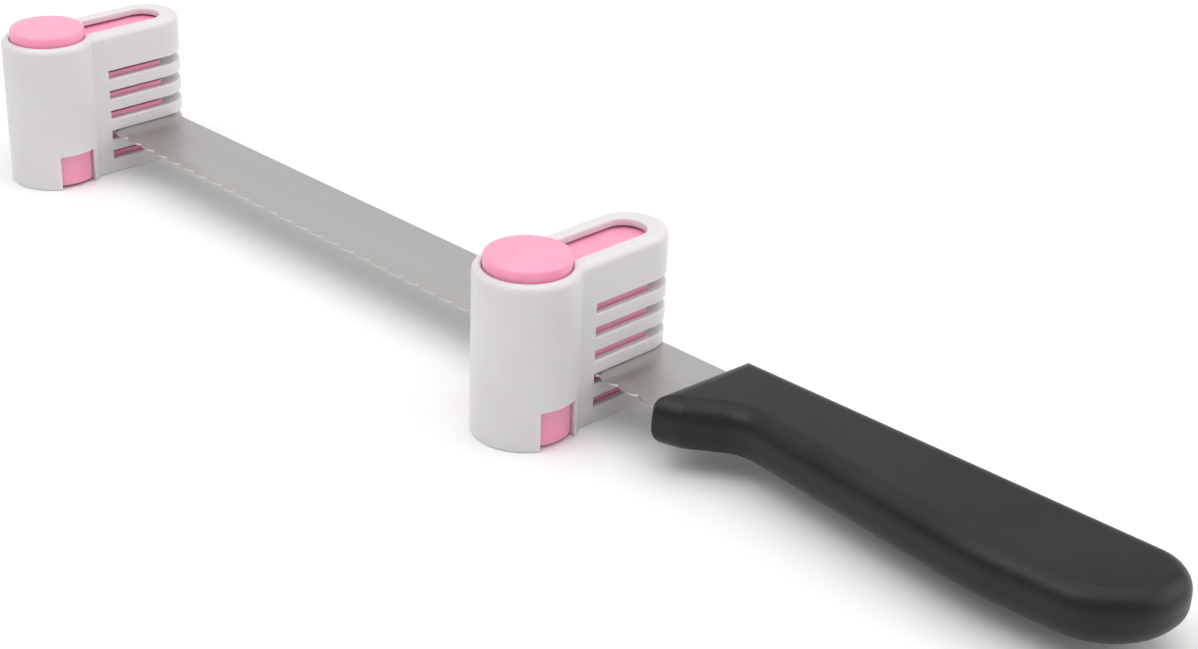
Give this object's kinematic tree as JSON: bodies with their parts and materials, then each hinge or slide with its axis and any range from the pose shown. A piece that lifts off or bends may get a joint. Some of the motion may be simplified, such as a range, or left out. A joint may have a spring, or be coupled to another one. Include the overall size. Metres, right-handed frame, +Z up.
{
  "type": "cake leveler",
  "caption": "Serrated knife held level by upright slotted guides with push-button spring clamps, for slicing cake into even layers.",
  "frame": {"origin": "on the table, below the middle of the whole", "axes": "+X along the blade to the handle, +Y from the guides' columns to the free ends of their fins, +Z up"},
  "size_m": [0.375, 0.0554, 0.0443],
  "materials": {
    "white_plastic": "satin moulded",
    "pink_plastic": "satin moulded",
    "black_plastic": "fine textured",
    "blade_steel": "satin ground",
    "spring_steel": "drawn wire"
  },
  "bodies": {
    "knife": {"knife_blade": "blade_steel", "knife_handle": "black_plastic"},
    "near_guide": {"near_guide_shell": "white_plastic", "near_base_plug": "pink_plastic"},
    "near_clamp": {"near_clamp_slider": "pink_plastic", "near_clamp_spring": "spring_steel"},
    "far_guide": {"far_guide_shell": "white_plastic", "far_base_plug": "pink_plastic"},
    "far_clamp": {"far_clamp_slider": "pink_plastic", "far_clamp_spring": "spring_steel"}
  },
  "joints": [
    {"name": "near_slide", "type": "slide", "parent": "knife", "child": "near_guide", "axis": [1, 0, 0], "range_m": [-0.08, 0.018]},
    {"name": "far_slide", "type": "slide", "parent": "knife", "child": "far_guide", "axis": [1, 0, 0], "range_m": [-0.006, 0.08]},
    {"name": "near_press", "type": "slide", "parent": "near_guide", "child": "near_clamp", "axis": [0, 0, -1], "range_m": [0, 0.00124], "stiffness_N_per_m": 1200, "springref_m": -0.0045, "deforming": ["near_clamp_spring"]},
    {"name": "far_press", "type": "slide", "parent": "far_guide", "child": "far_clamp", "axis": [0, 0, -1], "range_m": [0, 0.00124], "stiffness_N_per_m": 1200, "springref_m": -0.0045, "deforming": ["far_clamp_spring"]}
  ]
}
